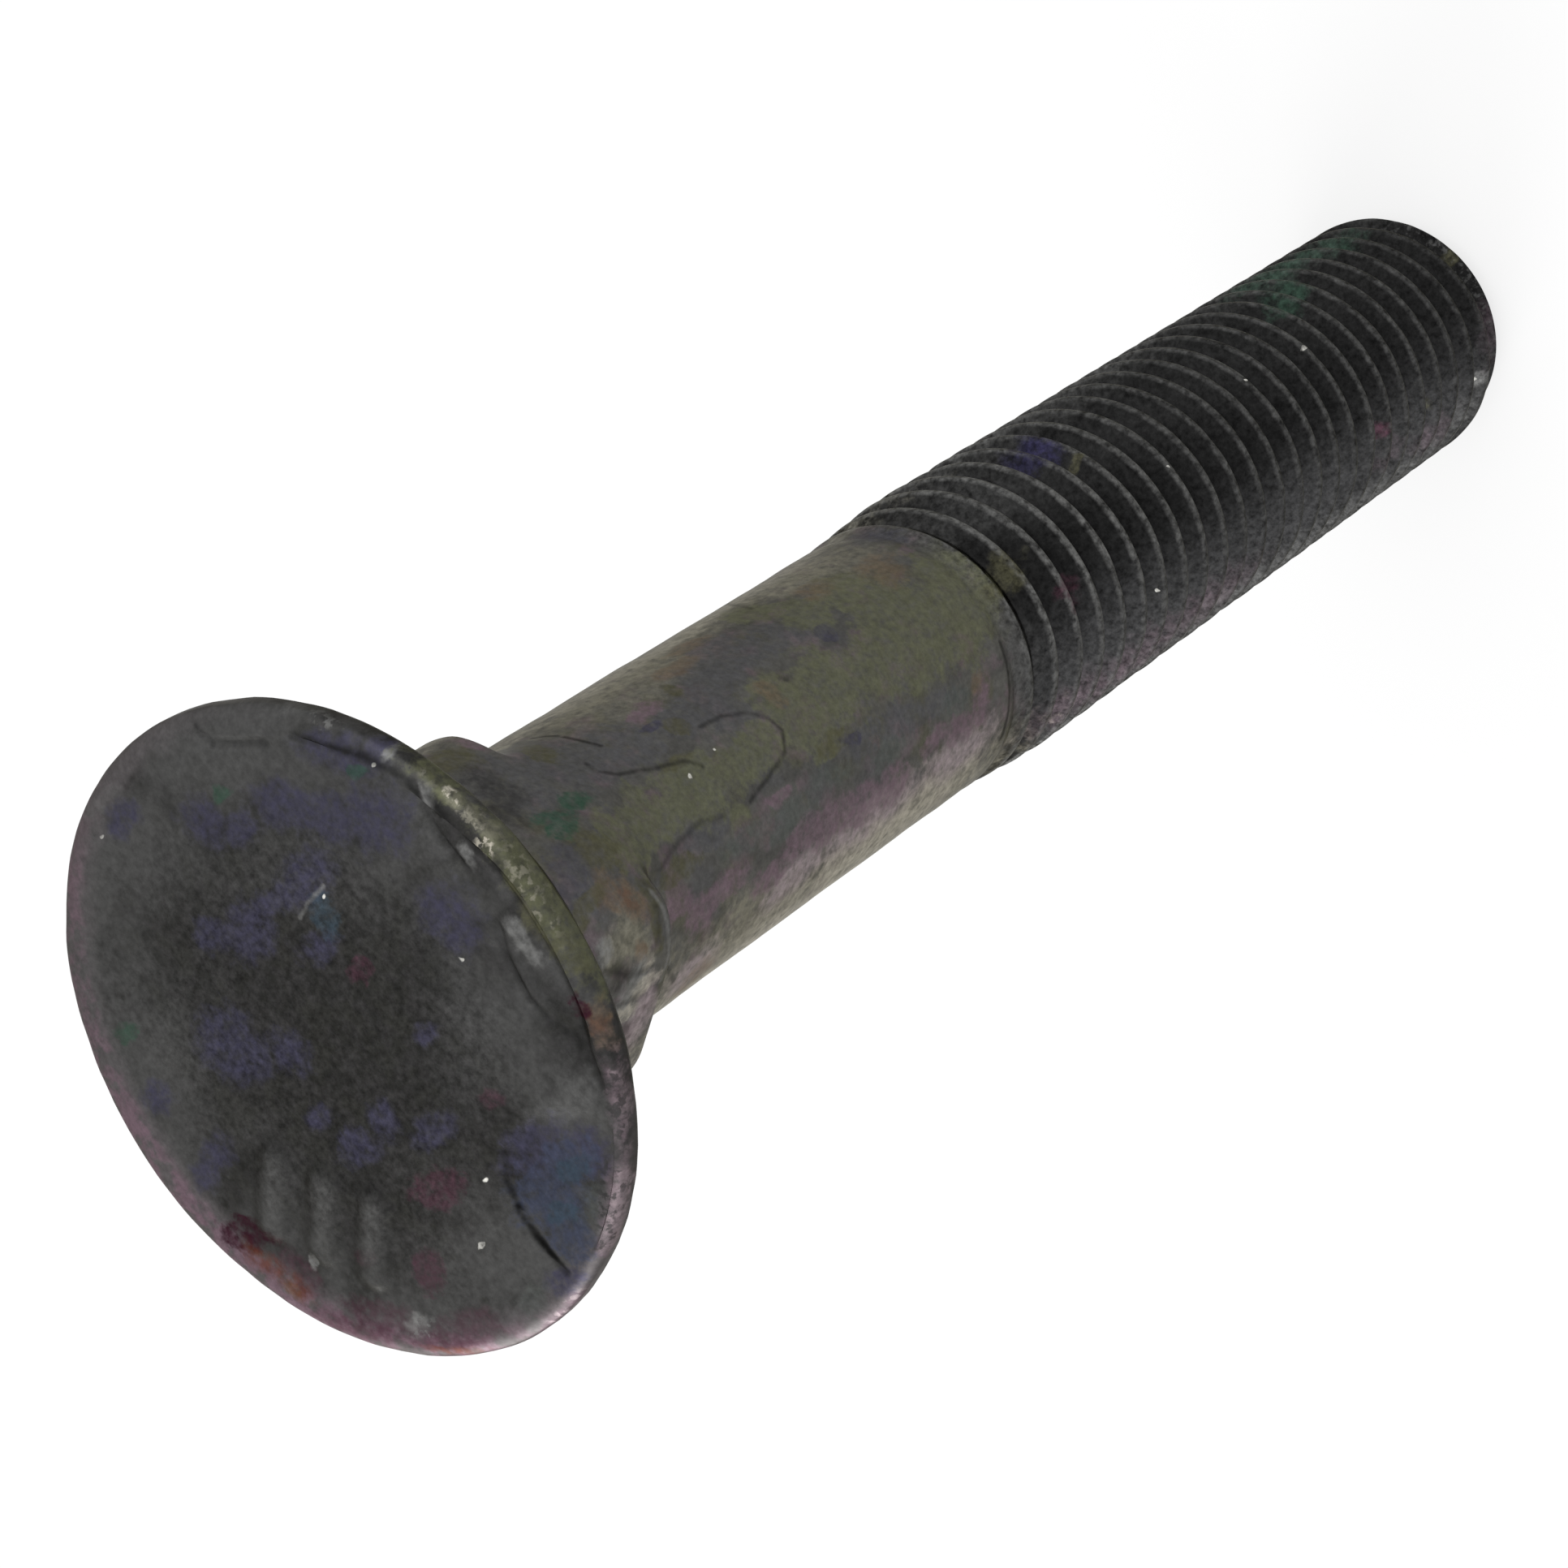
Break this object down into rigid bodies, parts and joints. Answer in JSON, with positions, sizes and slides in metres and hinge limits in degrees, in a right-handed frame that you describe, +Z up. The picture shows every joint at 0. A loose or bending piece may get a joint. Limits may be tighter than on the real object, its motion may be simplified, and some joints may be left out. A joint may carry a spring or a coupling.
{
  "type": "plow bolt",
  "caption": "Flat countersunk bolt with a short square neck, a reduced plain shank and a rolled M12 thread, in dark oiled steel.",
  "frame": {"origin": "centre of the flat at the threaded point, where the bolt stands", "axes": "+Z up the bolt's axis, from the point to the head's face; X and Y square to the neck's flats"},
  "size_m": [0.0232, 0.0232, 0.08],
  "materials": {
    "black_steel": "quenched black steel, oiled, with temper colours"
  },
  "bodies": {
    "root": {"plow_bolt": "black_steel"}
  },
  "joints": []
}
